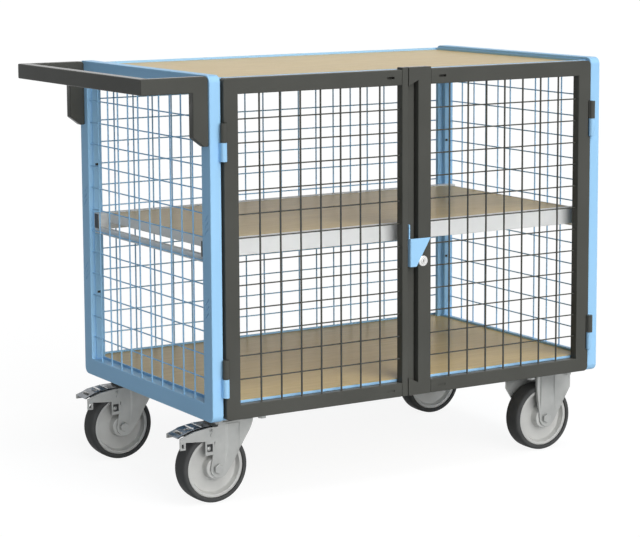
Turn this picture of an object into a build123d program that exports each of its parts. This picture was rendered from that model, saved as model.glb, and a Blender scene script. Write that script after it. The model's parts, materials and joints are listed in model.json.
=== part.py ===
# Mobile workbench: a mesh-sided cupboard with two doors, a wooden top and one shelf, on four casters.
# Millimetres. +X runs along the cupboard away from the handle, the doors face -Y and +Z is up.
# The origin is on the floor, under the middle of the whole trolley.
import os

from build123d import *

os.makedirs("parts", exist_ok=True)

# Cupboard body
cabinet_length = 1020.0
cabinet_depth = 620.0
cabinet_height = 730.0
caster_height = 190.0

# End frames: rectangular tube with its narrow side to the front
tube_width = 26.0
tube_depth = 38.0
corner_radius = 16.0

# Slotted tube posts inside the end frames
post_width = 30.0
post_depth = 15.0
post_wall = 2.0
slot_width = 8.0
slot_height = 14.0
slot_count = 3
slot_pitch = 90.0
slot_margin = 45.0

# Small pins and bores, wheel cores and mesh rods are drawn with flats
pin_sides = 12
core_sides = 28
wire_sides = 4

# Welded mesh in two layers of rods
wire_pitch = 50.0
wire_radius = 2.0
layer_gap = 0.2
end_mesh_inset = 2.5
door_mesh_inset = 5.0

# Top and bottom trays of folded angle, with boards laid in them
tray_setback = 18.0
sheet = 3.0
ledge_width = 30.0
board_thickness = 15.0
board_gap = 0.5
top_tray_height = 38.0
top_tray_drop = 3.0
bottom_tray_height = 40.0
lip = 1.0
top_lip = 8.0

# Shelf
shelf_top = 381.0
beam_height = 37.0
beam_depth = 25.0
beam_wall = 2.0
beam_fit = 0.3
cap_length = 6.0
shelf_board_thickness = 12.0
shelf_lip = 1.0
end_rail_gap = 8.0
end_rail_height = 21.0
end_rail_width = 30.0
cross_rail_width = 30.0
cross_rail_height = 16.0
cross_rail_count = 2
tie_height = 16.0
tie_width = 12.0
tie_drop = 10.0

# Push handle
handle_reach = 155.0
handle_drop = 1.5
handle_height = 33.5
handle_tube = 25.0
arm_thickness = 20.0
arm_setback = 4.0
leg_width = 36.0
leg_length = 145.0
leg_chamfer = 25.0
leg_slope = 19.0
handle_round = 8.0
handle_bolt_head = 13.0
handle_bolt_height = 3.0
handle_bolt_offset = 14.0
handle_bolt_low = 34.0
handle_bolt_pitch = 45.0

# Doors
door_gap = 4.0
meeting_gap = 1.5
door_bar = 34.5
low_bar = 31.0
high_bar = 34.0
door_thickness = 22.0
door_proud = 6.0
low_inset = 3.0
high_inset = 6.5
meeting_drop = 2.0
door_corner = 10.0
left_meeting_width = 15.5
right_meeting_width = 58.5
rail_slot_length = 19.0
rail_slot_height = 5.0
rail_slot_depth = 4.0
rail_slot_offset = 30.0
groove_width = 25.0
groove_depth = 18.0
groove_end = 31.0
groove_slant = 12.0

# Lift-off hinges
knuckle_radius = 7.0
knuckle_height = 40.0
knuckle_axis = 8.0
knuckle_clear = 1.0
knuckle_gap = 0.5
pin_radius = 4.0
pin_clear = 0.05
pin_depth = 31.0
low_hinge_level = 94.0
high_hinge_level = 591.5

# Pull plate and cam lock
pull_proud = 11.0
pull_sheet = 2.5
pull_width = 45.0
pull_foot = 12.0
pull_low = 291.0
pull_height = 62.0
pull_tongue = 31.0
pull_edge = 0.5
lock_inset = 37.0
lock_level = 301.5
lock_face_radius = 10.0
lock_face_height = 3.0
lock_body_radius = 8.5
lock_body_fit = 0.1
lock_nut_size = 22.0
lock_nut_height = 4.0
lock_body_tail = 5.0
plug_radius = 6.0
plug_clear = 0.05
plug_proud = 0.5
key_slot_width = 1.6
key_slot_length = 9.0
key_slot_depth = 3.0
cam_square = 7.0
cam_fit = 0.05
cam_gap = 0.3
cam_thickness = 3.0
cam_width = 14.0
cam_length = 34.0
cam_chamfer = 3.0

# Casters
caster_end_inset = 90.0
fixed_end_inset = 105.0
caster_side_inset = 85.0
plate_length = 140.0
plate_width = 110.0
plate_thickness = 5.0
bolt_spacing_x = 105.0
bolt_spacing_y = 86.0
bolt_head = 17.0
bolt_head_height = 7.0
beam_margin = 126.0
wheel_radius = 78.0
tyre_width = 46.0
rim_radius = 67.0
rim_fit = 0.1
rim_width = 40.0
rim_dish = 58.0
web_thickness = 14.0
hub_radius = 25.0
hub_length = 55.0
axle_radius = 6.0
axle_clear = 0.05
axle_head = 19.0
axle_head_height = 7.0
fork_gap = 56.0
fork_wall = 4.0
fork_boss = 21.0
boss_shift = 4.0
bead_height = 2.5
bead_width = 36.0
bead_rise = 12.5

# Swivel casters
trail = 50.0
race_radius = 37.0
race_height = 7.5
race_gap = 0.5
kingpin_radius = 8.0
kingpin_nut = 24.0
kingpin_nut_height = 6.0
crown_front = 37.0
crown_rear = 48.0
crown_drop = 40.0
arm_root_back = 72.0
arm_root_top = 21.0
arm_root_low = 53.0
arm_knee = 106.0
arm_knee_drop = 26.0
arm_reach = 140.0
arm_tip_top = 37.0
arm_tip_low = 45.0
lug_length = 22.0
lug_depth = 32.0
lug_hole_width = 14.0
lug_hole_height = 17.0
tail_length = 13.0
tail_low = 62.0
tail_hole_width = 6.0
tail_hole_height = 9.0
rivet_back = 63.0
rivet_drop = 38.0
rivet_radius = 5.0
rivet_height = 1.5

# Brake pedals
pedal_pin_reach = 66.0
pedal_pin_drop = 26.5
pedal_pin_radius = 4.0
pedal_width = 46.0
pedal_wall = 3.0
pedal_top = 20.0
pedal_back = 58.0
pedal_crest = 90.0
pedal_bend = 117.0
pedal_tip = 141.0
pedal_bend_drop = 4.5
pedal_tip_drop = 15.5
pedal_eye = 6.5
pedal_rib_width = 3.0
pedal_rib_height = 1.5
short_rib_back = 100.0
short_rib_width = 34.0
long_rib_back = 82.0
tip_slot_back = 129.0
tip_slot_length = 8.0
tip_slot_width = 32.0
pedal_hole_back = 112.0
pedal_hole_side = 8.0
pedal_hole = 11.0

# Fixed forks
fixed_leg_back = 25.0
fixed_leg_front = 71.0
fixed_leg_drop = 45.0
fixed_bead_back = 16.0
fixed_bead_width = 41.0
fold_depth = 8.0

# Where the main faces lie
front_reach = door_proud + pull_proud
xl = handle_reach - (cabinet_length + handle_reach) / 2
xr = xl + cabinet_length
xm = (xl + xr) / 2
yf = front_reach - (cabinet_depth + front_reach) / 2
yr = yf + cabinet_depth
ym = (yf + yr) / 2
zb = caster_height
zt = zb + cabinet_height
across_x = Plane.YZ.offset(xm)
across_y = Plane.XZ.offset(-ym)


def slab(x0, x1, y0, y1, z0, z1):
    """A block between two opposite corners."""
    return Pos((x0 + x1) / 2, (y0 + y1) / 2, (z0 + z1) / 2) * Box(x1 - x0, y1 - y0, z1 - z0)


def rod(start, direction, radius, length):
    """A round bar from a start point along a direction."""
    base = Plane(origin=start, z_dir=direction)
    return base * Cylinder(radius, length, align=(Align.CENTER, Align.CENTER, Align.MIN))


def hex_bar(start, direction, flats, length):
    """A six-sided bar, sized across its flats."""
    base = Plane(origin=start, z_dir=direction)
    return extrude(base * RegularPolygon(flats / 2, 6, major_radius=False), length)


def wire(start, direction, length):
    """One mesh rod."""
    base = Plane(origin=start, z_dir=direction)
    return extrude(base * RegularPolygon(wire_radius, wire_sides), length)


def pin(start, direction, radius, length):
    """A pin drawn with flats, its corners on the given radius."""
    base = Plane(origin=start, z_dir=direction)
    return extrude(base * RegularPolygon(radius, pin_sides), length)


def bore(start, direction, radius, length):
    """A hole drawn with flats that clear the given radius."""
    base = Plane(origin=start, z_dir=direction)
    return extrude(base * RegularPolygon(radius, pin_sides, major_radius=False), length)


def upright(x0, x1, z0, z1):
    """A rectangle standing in the XZ plane."""
    return Pos((x0 + x1) / 2, (z0 + z1) / 2) * Rectangle(x1 - x0, z1 - z0)


def thicken(profile, y0, y1):
    """An XZ profile made solid between two depths."""
    return extrude(Plane.XZ.offset(-y1) * profile, y1 - y0)


def save(name, solids):
    """Writes the solids of one piece."""
    flat = [solid for item in solids for solid in item.solids()]
    export_step(Compound(flat), f"parts/{name}.step")


def flip_x(items):
    """The same pieces at the other end of the cupboard."""
    return [mirror(item, about=across_x) for item in items]


def flip_y(items):
    """The same pieces at the other side of the cupboard."""
    return [mirror(item, about=across_y) for item in items]


def grid(low, high):
    """Rod positions one pitch apart, centred between two edges."""
    count = round((high - low) / wire_pitch) - 1
    first = (low + high - (count - 1) * wire_pitch) / 2
    return [first + i * wire_pitch for i in range(count)]


# End frames: two stiles with rounded ends and two rails between them
stile_face = Rectangle(tube_depth, cabinet_height)
stile_face = fillet(stile_face.vertices().group_by(Axis.X)[0], corner_radius)
stile_centre = (xl, yf + tube_depth / 2, zb + cabinet_height / 2)
stile = extrude(Plane(origin=stile_centre, x_dir=(0, 1, 0), z_dir=(1, 0, 0)) * stile_face, tube_width)
inner_front = yf + tube_depth
inner_rear = yr - tube_depth
inner_low = zb + tube_depth
inner_high = zt - tube_depth
low_rail = slab(xl, xl + tube_width, inner_front, inner_rear, zb, inner_low)
high_rail = slab(xl, xl + tube_width, inner_front, inner_rear, inner_high, zt)
left_end = [stile, low_rail, high_rail] + flip_y([stile])
save("left_end_frame", left_end)
save("right_end_frame", flip_x(left_end))

# Posts: tubes with shelf slots in the inner wall and a window through both walls for the shelf beam
inner_left = xl + tube_width
inner_right = xr - tube_width
post_edge = inner_front + post_width
beam_front = inner_front + (post_width - beam_depth) / 2
beam_high = zb + shelf_top
beam_low = beam_high - beam_height
post = slab(inner_left - post_depth, inner_left, inner_front, post_edge, inner_low, inner_high)
post -= slab(
    inner_left - post_depth + post_wall,
    inner_left - post_wall,
    inner_front + post_wall,
    post_edge - post_wall,
    inner_low,
    inner_high,
)
post -= slab(
    inner_left - post_depth,
    inner_left,
    beam_front - beam_fit,
    beam_front + beam_depth + beam_fit,
    beam_low - beam_fit,
    beam_high + beam_fit,
)
slot_y = inner_front + post_width / 2
slot_box = Pos(inner_left - post_wall / 2, slot_y, 0) * Box(post_wall, slot_width, slot_height)
for i in range(slot_count):
    reach = slot_margin + i * slot_pitch
    post -= Pos(0, 0, beam_high + reach) * slot_box
    post -= Pos(0, 0, beam_low - reach) * slot_box
left_posts = [post] + flip_y([post])
save("left_end_posts", left_posts)
save("right_end_posts", flip_x(left_posts))

# End meshes: upright rods outside, level rods behind them
layer = 2 * wire_radius + layer_gap
end_x = xl + end_mesh_inset + wire_radius
rod_levels = grid(inner_low, inner_high)
end_rods = grid(inner_front, inner_rear)
left_mesh = [wire((end_x, y, inner_low), (0, 0, 1), inner_high - inner_low) for y in end_rods]
left_mesh += [wire((end_x + layer, inner_front, z), (0, 1, 0), inner_rear - inner_front) for z in rod_levels]
save("left_end_mesh", left_mesh)
save("right_end_mesh", flip_x(left_mesh))

# Trays: four angles each, the end angles fitted between the long ones
tray_front = yf + tray_setback


def tray(z0, z1, ledge):
    """A tray of angles whose ledge carries a board."""
    front = slab(inner_left, inner_right, tray_front, tray_front + sheet, z0, z1)
    ledge_low = ledge - sheet
    front += slab(inner_left, inner_right, tray_front + sheet, tray_front + ledge_width, ledge_low, ledge)
    rear = slab(inner_left, inner_right, yr - sheet, yr, z0, z1)
    rear += slab(inner_left, inner_right, yr - ledge_width, yr - sheet, ledge_low, ledge)
    y0 = tray_front + ledge_width
    y1 = yr - ledge_width
    left = slab(inner_left, inner_left + sheet, y0, y1, z0, z1)
    left += slab(inner_left + sheet, inner_left + ledge_width, y0, y1, ledge_low, ledge)
    return [front, rear, left] + flip_x([left])


def tray_board(z0, thickness):
    """The board that lies inside a tray."""
    gap = sheet + board_gap
    return slab(inner_left + gap, inner_right - gap, tray_front + gap, yr - gap, z0, z0 + thickness)


top_tray_high = zt - top_tray_drop
top_tray_low = top_tray_high - top_tray_height
top_ledge = top_tray_high - top_lip - board_thickness
save("top_frame", tray(top_tray_low, top_tray_high, top_ledge))
save("top_board", [tray_board(top_ledge, board_thickness)])

bottom_tray_high = zb + bottom_tray_height
bottom_ledge = bottom_tray_high - lip - board_thickness
save("bottom_frame", tray(zb, bottom_tray_high, bottom_ledge))
save("bottom_board", [tray_board(bottom_ledge, board_thickness)])

# Flat boxes across the underside that carry the casters
carrier_high = bottom_ledge - sheet
carrier = slab(
    inner_left + sheet,
    inner_left + sheet + beam_margin,
    tray_front + sheet,
    yr - sheet,
    zb,
    carrier_high,
)
save("caster_carriers", [carrier] + flip_x([carrier]))

# Back mesh, in line with the rear edges of the trays
back_y = yr - wire_radius
back_mesh = [
    wire((x, back_y, bottom_tray_high), (0, 0, 1), top_tray_low - bottom_tray_high)
    for x in grid(inner_left, inner_right)
]
back_mesh += [wire((inner_left, back_y - layer, z), (1, 0, 0), inner_right - inner_left) for z in rod_levels]
save("back_mesh", back_mesh)

# Shelf: two beams through the posts, end angles and cross rails between them, and a board
beam_x0 = inner_left - post_depth
beam_x1 = inner_right + post_depth
beam_back = beam_front + beam_depth
beam = slab(beam_x0, beam_x1, beam_front, beam_back, beam_low, beam_high)
cap = slab(
    beam_x0,
    beam_x0 + cap_length,
    beam_front + beam_wall,
    beam_back - beam_wall,
    beam_low + beam_wall,
    beam_high - beam_wall,
)
caps = [cap] + flip_x([cap])
for plug in caps:
    beam -= plug
save("shelf_beams", [beam] + flip_y([beam]))
save("shelf_end_caps", caps + flip_y(caps))

rail_y0 = beam_back
rail_y1 = yf + yr - beam_back
shelf_board_high = beam_high - shelf_lip
shelf_ledge = shelf_board_high - shelf_board_thickness
end_rail_x = inner_left + end_rail_gap
end_rail = slab(end_rail_x, end_rail_x + sheet, rail_y0, rail_y1, beam_high - end_rail_height, beam_high)
end_rail += slab(
    end_rail_x + sheet, end_rail_x + end_rail_width, rail_y0, rail_y1, shelf_ledge - sheet, shelf_ledge
)
shelf_rails = [end_rail] + flip_x([end_rail])
rail_step = (inner_right - inner_left) / (cross_rail_count + 1)
for i in range(cross_rail_count):
    middle = inner_left + (i + 1) * rail_step
    half = cross_rail_width / 2
    shelf_rails.append(
        slab(middle - half, middle + half, rail_y0, rail_y1, shelf_ledge - cross_rail_height, shelf_ledge)
    )
save("shelf_rails", shelf_rails)
board_x0 = end_rail_x + sheet + board_gap
shelf_board = slab(
    board_x0,
    xl + xr - board_x0,
    rail_y0 + board_gap,
    rail_y1 - board_gap,
    shelf_ledge,
    shelf_board_high,
)
save("shelf_board", [shelf_board])

# Ties between the posts under the shelf ends
tie_x1 = inner_left - post_wall
tie_high = beam_low - tie_drop + tie_height
tie = slab(tie_x1 - tie_width, tie_x1, post_edge, yf + yr - post_edge, tie_high - tie_height, tie_high)
save("shelf_ties", [tie] + flip_x([tie]))

# Push handle: a grip mitred to two cranked arms that are bolted to the left end frame
grip_x0 = xl - handle_reach
grip_x1 = grip_x0 + handle_tube
arm_y0 = yf + arm_setback
grip_y1 = yf + yr - arm_y0
handle_high = zt - handle_drop
arm_low = handle_high - handle_height
leg_low = handle_high - leg_length
leg_x0 = xl - leg_width
grip_plan = Polygon(
    (grip_x0, arm_y0),
    (grip_x1, arm_y0 + arm_thickness),
    (grip_x1, grip_y1 - arm_thickness),
    (grip_x0, grip_y1),
    align=None,
)
grip = extrude(Plane.XY.offset(arm_low) * grip_plan, handle_height)
arm_face = Polygon(
    (grip_x0, arm_low),
    (leg_x0, arm_low),
    (leg_x0, leg_low + leg_slope),
    (leg_x0 + leg_chamfer, leg_low),
    (xl, leg_low),
    (xl, handle_high),
    (grip_x0, handle_high),
    align=None,
)
arm_corner = arm_face.vertices().group_by(Axis.Y)[-1].sort_by(Axis.X)[-1]
arm_face = fillet(arm_corner, handle_round)
arm = thicken(arm_face, arm_y0, arm_y0 + arm_thickness) - grip
save("handle_grip", [grip])
save("handle_arms", [arm] + flip_y([arm]))
bolt_y = arm_y0 + handle_bolt_offset
handle_bolts = []
for i in range(2):
    bolt_at = (inner_left, bolt_y, leg_low + handle_bolt_low + i * handle_bolt_pitch)
    handle_bolts.append(hex_bar(bolt_at, (1, 0, 0), handle_bolt_head, handle_bolt_height))
save("handle_bolts", handle_bolts + flip_y(handle_bolts))

# Doors: a stile on the hinge side, two rails, and a meeting stile
door_front = yf - door_proud
door_back = door_front + door_thickness
door_low = zb + low_inset
door_high = zt - high_inset
edge_x = inner_left + door_gap
stile_x = edge_x + door_bar
doors_span = inner_right - inner_left - 2 * door_gap - 2 * door_bar
opening = (doors_span - meeting_gap - left_meeting_width - right_meeting_width) / 2
meet_x = stile_x + opening
open_low = door_low + low_bar
open_high = door_high - high_bar

# Hinges: the frame half stands on the stile's front face, the door half in a notch of the door
hinge_x = inner_left + door_gap / 2
hinge_y = yf - knuckle_axis
notch_x = hinge_x + knuckle_radius + knuckle_clear
hinge_zs = [zb + low_hinge_level, zb + high_hinge_level]
frame_knuckles = []
door_knuckles = []
hinge_pins = []
door_stile_face = upright(edge_x, stile_x, door_low, door_high)
door_stile_face = fillet(door_stile_face.vertices().group_by(Axis.X)[0], door_corner)
door_stile = thicken(door_stile_face, door_front, door_back)
for z in hinge_zs:
    free_radius = pin_radius + pin_clear
    low_z = z - knuckle_height
    low_half = rod((hinge_x, hinge_y, low_z), (0, 0, 1), knuckle_radius, knuckle_height - knuckle_gap)
    low_half += slab(hinge_x - knuckle_radius, inner_left, hinge_y, yf, low_z, z - knuckle_gap)
    low_half -= bore((hinge_x, hinge_y, z - pin_depth), (0, 0, 1), free_radius, pin_depth)
    frame_knuckles.append(low_half)
    high_half = rod((hinge_x, hinge_y, z), (0, 0, 1), knuckle_radius, knuckle_height)
    high_half += slab(hinge_x, notch_x, hinge_y, hinge_y + knuckle_axis, z, z + knuckle_height)
    high_half -= bore((hinge_x, hinge_y, z), (0, 0, 1), free_radius, pin_depth + pin_clear)
    door_knuckles.append(high_half)
    hinge_pins.append(pin((hinge_x, hinge_y, z - pin_depth), (0, 0, 1), pin_radius, 2 * pin_depth))
    door_stile -= slab(edge_x, notch_x, door_front, yf, low_z - knuckle_clear, z + knuckle_height)
save("frame_knuckles", frame_knuckles + flip_x(frame_knuckles))
save("hinge_pins", hinge_pins + flip_x(hinge_pins))
save("left_door_knuckles", door_knuckles)
save("right_door_knuckles", flip_x(door_knuckles))

rail_slot = Pos(meet_x - rail_slot_offset, 0) * Rectangle(rail_slot_length, rail_slot_height)
door_low_rail = thicken(upright(stile_x, meet_x, door_low, open_low), door_front, door_back)
slot_low = thicken(Pos(0, door_low + low_bar / 2) * rail_slot, door_front, door_front + rail_slot_depth)
door_high_rail = thicken(upright(stile_x, meet_x, open_high, door_high), door_front, door_back)
slot_high = thicken(Pos(0, door_high - high_bar / 2) * rail_slot, door_front, door_front + rail_slot_depth)
left_door = [door_stile, door_low_rail - slot_low, door_high_rail - slot_high]
save("left_door_frame", left_door)
save("right_door_frame", flip_x(left_door))

# Door meshes, set back from the front of the doors
door_mesh_y = door_front + door_mesh_inset + wire_radius
open_height = open_high - open_low
door_mesh = [wire((x, door_mesh_y, open_low), (0, 0, 1), open_height) for x in grid(stile_x, meet_x)]
door_mesh += [
    wire((stile_x, door_mesh_y + layer, z), (1, 0, 0), meet_x - stile_x) for z in grid(open_low, open_high)
]
save("left_door_mesh", door_mesh)
save("right_door_mesh", flip_x(door_mesh))

# Meeting stiles: the left one is plain, the right one has a long finger groove with slanted ends
split_x = meet_x + left_meeting_width
meeting_high = zt - meeting_drop
left_meeting = slab(meet_x, split_x, door_front, door_back, door_low, meeting_high)
save("left_meeting_stile", [left_meeting])
right_x0 = split_x + meeting_gap
right_x1 = right_x0 + right_meeting_width
groove_x1 = right_x0 + groove_width
groove_low = zb + groove_end
groove_high = zt - groove_end
groove = Polygon(
    (right_x0, groove_low + groove_slant),
    (groove_x1, groove_low),
    (groove_x1, groove_high),
    (right_x0, groove_high - groove_slant),
    align=None,
)
right_meeting = slab(right_x0, right_x1, door_front, door_back, door_low, meeting_high)
right_meeting -= thicken(groove, door_front, door_front + groove_depth)
lock_x = right_x0 + lock_inset
lock_z = zb + lock_level
lock_hole = lock_body_radius + lock_body_fit
right_meeting -= bore((lock_x, door_front, lock_z), (0, 1, 0), lock_hole, door_thickness)
save("right_meeting_stile", [right_meeting])

# Pull plate: a folded sheet whose side flange stands in the groove
pull_x = right_x0 + pull_edge
pull_z0 = zb + pull_low
pull_z1 = pull_z0 + pull_height
pull_front = door_front - pull_proud
pull_face = Polygon(
    (pull_x, pull_z0),
    (pull_x + pull_foot, pull_z0),
    (pull_x + pull_width, pull_z1),
    (pull_x, pull_z1),
    align=None,
)
pull = thicken(pull_face, pull_front, pull_front + pull_sheet)
pull += slab(
    pull_x, pull_x + pull_sheet, pull_front, door_front + groove_depth, pull_z0, pull_z1 + pull_tongue
)
save("pull_plate", [pull])

# Cam lock: housing and nut fixed in the stile, plug and cam turning in them
face_y = door_front - lock_face_height
tail_y = door_back + lock_nut_height + lock_body_tail
housing = pin((lock_x, face_y, lock_z), (0, 1, 0), lock_face_radius, lock_face_height)
housing += pin((lock_x, door_front, lock_z), (0, 1, 0), lock_body_radius, tail_y - door_front)
housing -= bore((lock_x, face_y, lock_z), (0, 1, 0), plug_radius + plug_clear, tail_y - face_y)
save("lock_housing", [housing])
nut = hex_bar((lock_x, door_back, lock_z), (0, 1, 0), lock_nut_size, lock_nut_height)
nut -= bore((lock_x, door_back, lock_z), (0, 1, 0), lock_hole, lock_nut_height)
save("lock_nut", [nut])
plug_y = face_y - plug_proud
cam_y = tail_y + cam_gap
plug_body = pin((lock_x, plug_y, lock_z), (0, 1, 0), plug_radius, cam_y - plug_y)
plug_body += Pos(lock_x, cam_y + cam_thickness / 2, lock_z) * Box(cam_square, cam_thickness, cam_square)
key_slot = Box(key_slot_width, key_slot_depth, key_slot_length)
plug_body -= Pos(lock_x, plug_y + key_slot_depth / 2, lock_z) * key_slot
save("lock_plug", [plug_body])
cam_half = cam_width / 2
cam_face = upright(lock_x - cam_half, lock_x + cam_half, lock_z - cam_length, lock_z + cam_half)
cam_face = chamfer(cam_face.vertices(), cam_chamfer)
cam_face -= Pos(lock_x, lock_z) * Rectangle(cam_square + 2 * cam_fit, cam_square + 2 * cam_fit)
save("lock_cam", [thicken(cam_face, cam_y, cam_y + cam_thickness)])

# Wheel, centred on its own axle along Y: a dished core with a hub, and a solid tyre around it
core = Plane.XZ * RegularPolygon(rim_radius, core_sides)
rim = extrude(core, rim_width / 2, both=True)
dish_depth = (rim_width - web_thickness) / 2
for side in (-1, 1):
    rim_face = Plane(origin=(0, side * rim_width / 2, 0), z_dir=(0, -side, 0))
    rim -= extrude(rim_face * RegularPolygon(rim_dish, core_sides), dish_depth)
rim += extrude(Plane.XZ * RegularPolygon(hub_radius, core_sides), hub_length / 2, both=True)
rim -= bore((0, -hub_length / 2, 0), (0, 1, 0), axle_radius + axle_clear, hub_length)
seat = Plane.XZ * RegularPolygon(rim_radius + rim_fit, core_sides)
tyre = rod((0, -tyre_width / 2, 0), (0, 1, 0), wheel_radius, tyre_width)
tyre -= extrude(seat, tyre_width / 2, both=True)

# Axle: a bolt through both fork legs, with its head in front and its nut behind
fork_half = fork_gap / 2 + fork_wall
axle = pin((0, -fork_half, 0), (0, 1, 0), axle_radius, 2 * fork_half)
axle += hex_bar((0, -fork_half - axle_head_height, 0), (0, 1, 0), axle_head, axle_head_height)
axle += hex_bar((0, fork_half, 0), (0, 1, 0), axle_head, axle_head_height)

# Plate bolts: hexagon heads under each plate
plate_bolts = []
for place in GridLocations(bolt_spacing_x, bolt_spacing_y, 2, 2):
    bolt_at = (place.position.X, place.position.Y, -plate_thickness)
    plate_bolts.append(hex_bar(bolt_at, (0, 0, -1), bolt_head, bolt_head_height))

# Swivel plate with its race and kingpin, from the plate's top face downwards
axle_drop = caster_height - wheel_radius
race_low = -plate_thickness - race_height
crown_high = race_low - race_gap
crown_low = crown_high - fork_wall
nut_high = crown_low - race_gap
swivel_plate = Pos(0, 0, -plate_thickness / 2) * Box(plate_length, plate_width, plate_thickness)
swivel_plate += rod((0, 0, race_low), (0, 0, 1), race_radius, race_height)
swivel_plate += pin((0, 0, nut_high), (0, 0, 1), kingpin_radius, race_low - nut_high)
swivel_plate += hex_bar((0, 0, nut_high), (0, 0, -1), kingpin_nut, kingpin_nut_height)

# Swivel fork: a crown, two tapered legs and two arms for the pedal, with lugs under each arm
hub_point = Pos(-trail + boss_shift, -axle_drop) * Circle(fork_boss)
crown_block = upright(-crown_rear, crown_front, -crown_drop, crown_high)
leg_shape = make_hull(hub_point.edges() + crown_block.edges())
arm_shape = Polygon(
    (-crown_rear, -arm_root_low),
    (-crown_rear, -arm_root_top),
    (-arm_root_back, -arm_root_top),
    (-arm_knee, -arm_knee_drop),
    (-arm_reach, -arm_tip_top),
    (-arm_reach, -arm_tip_low),
    align=None,
)
lug_x = -pedal_back - lug_length / 2
lug_z = -arm_root_low + fork_wall - lug_depth / 2
lug_shape = Pos(lug_x, lug_z) * Rectangle(lug_length, lug_depth)
lug_shape -= Pos(lug_x, lug_z) * Rectangle(lug_hole_width, lug_hole_height)
tail_shape = upright(-arm_reach, -arm_reach + tail_length, -tail_low, -arm_tip_low + fork_wall)
tail_hole_x = -arm_reach + tail_length / 2
tail_hole_z = -(arm_tip_low + tail_low) / 2
tail_shape -= Pos(tail_hole_x, tail_hole_z) * Rectangle(tail_hole_width, tail_hole_height)
side_shape = leg_shape + arm_shape + lug_shape + tail_shape
bead_low = bead_rise - axle_drop
bead_shape = upright(-bead_width + fork_wall, fork_wall, bead_low, crown_low) & leg_shape
swivel_side = thicken(side_shape, -fork_half, -fork_gap / 2)
swivel_side += thicken(bead_shape, -fork_half - bead_height, -fork_half)
swivel_side += pin((-rivet_back, -fork_half, -rivet_drop), (0, -1, 0), rivet_radius, rivet_height)
swivel_fork = swivel_side + mirror(swivel_side, about=Plane.XZ)
swivel_fork += slab(-crown_rear, crown_front, -fork_half, fork_half, crown_low, crown_high)
swivel_fork -= bore((0, 0, crown_low), (0, 0, 1), kingpin_radius + pin_clear, fork_wall)
swivel_fork -= bore((-trail, -fork_half, -axle_drop), (0, 1, 0), axle_radius + axle_clear, 2 * fork_half)
pedal_pivot = (-pedal_pin_reach, -fork_half, -pedal_pin_drop)
swivel_fork -= bore(pedal_pivot, (0, 1, 0), pedal_pin_radius + pin_clear, 2 * fork_half)

# Brake pedal: a bent tread with an eye under it, on a cross pin
bend_z = -pedal_top - pedal_bend_drop
tip_z = -pedal_top - pedal_tip_drop
tread = Polygon(
    (-pedal_back, -pedal_top),
    (-pedal_crest, -pedal_top),
    (-pedal_bend, bend_z),
    (-pedal_tip, tip_z),
    (-pedal_tip, tip_z - pedal_wall),
    (-pedal_bend, bend_z - pedal_wall),
    (-pedal_crest, -pedal_top - pedal_wall),
    (-pedal_back, -pedal_top - pedal_wall),
    align=None,
)
eye = Pos(-pedal_pin_reach, -pedal_pin_drop) * Circle(pedal_eye)
eye_root = upright(-pedal_pin_reach - pedal_eye, -pedal_back, -pedal_top - pedal_wall, -pedal_top)
half_pedal = pedal_width / 2
pedal = thicken(tread + make_hull(eye.edges() + eye_root.edges()), -half_pedal, half_pedal)
pedal -= bore(pedal_pivot, (0, 1, 0), pedal_pin_radius + pin_clear, 2 * fork_half)
rib_root = -pedal_top - pedal_wall
long_rib = slab(
    -long_rib_back - pedal_rib_width,
    -long_rib_back,
    -half_pedal,
    half_pedal,
    rib_root,
    -pedal_top + pedal_rib_height,
)
short_rib = slab(
    -short_rib_back - pedal_rib_width,
    -short_rib_back,
    -short_rib_width / 2,
    short_rib_width / 2,
    rib_root,
    -pedal_top,
)
pedal += long_rib + short_rib
tip_slot = Pos(-tip_slot_back, 0) * Rectangle(tip_slot_length, tip_slot_width)
side_hole = Pos(-pedal_hole_back, -pedal_hole_side) * Rectangle(pedal_hole, pedal_hole)
cut_low = Plane.XY.offset(tip_z - 2 * pedal_wall)
pedal -= extrude(cut_low * (tip_slot + side_hole), pedal_tip_drop + 2 * pedal_wall)
pedal_pin = pin(pedal_pivot, (0, 1, 0), pedal_pin_radius, 2 * fork_half)

# Fixed fork: plate, crown and two legs that are the same stamping turned about
fixed_top = upright(-fixed_leg_back, fixed_leg_front, -fixed_leg_drop, -plate_thickness)
fixed_boss = Pos(boss_shift, -axle_drop) * Circle(fork_boss)
fixed_shape = make_hull(fixed_top.edges() + fixed_boss.edges())
fixed_bead_x1 = fixed_bead_width - fixed_bead_back
fixed_bead = upright(-fixed_bead_back, fixed_bead_x1, bead_low, -plate_thickness) & fixed_shape
fold_area = upright(-2 * fixed_leg_back, 0, hub_radius - axle_drop, -plate_thickness)
fold_shape = (fixed_shape - Pos(fork_wall, 0) * fixed_shape) & fold_area
fixed_leg = thicken(fixed_shape, -fork_half, -fork_gap / 2)
fixed_leg += thicken(fixed_bead, -fork_half - bead_height, -fork_half)
fixed_leg += thicken(fold_shape, -fork_half, -fork_half + fold_depth)
fixed_fork = Pos(0, 0, -plate_thickness / 2) * Box(plate_length, plate_width, plate_thickness)
fixed_fork += slab(
    -fixed_leg_front, fixed_leg_front, -fork_half, fork_half, -plate_thickness - fork_wall, -plate_thickness
)
fixed_fork += fixed_leg + Rot(0, 0, 180) * fixed_leg
fixed_fork -= bore((0, -fork_half, -axle_drop), (0, 1, 0), axle_radius + axle_clear, 2 * fork_half)

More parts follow.
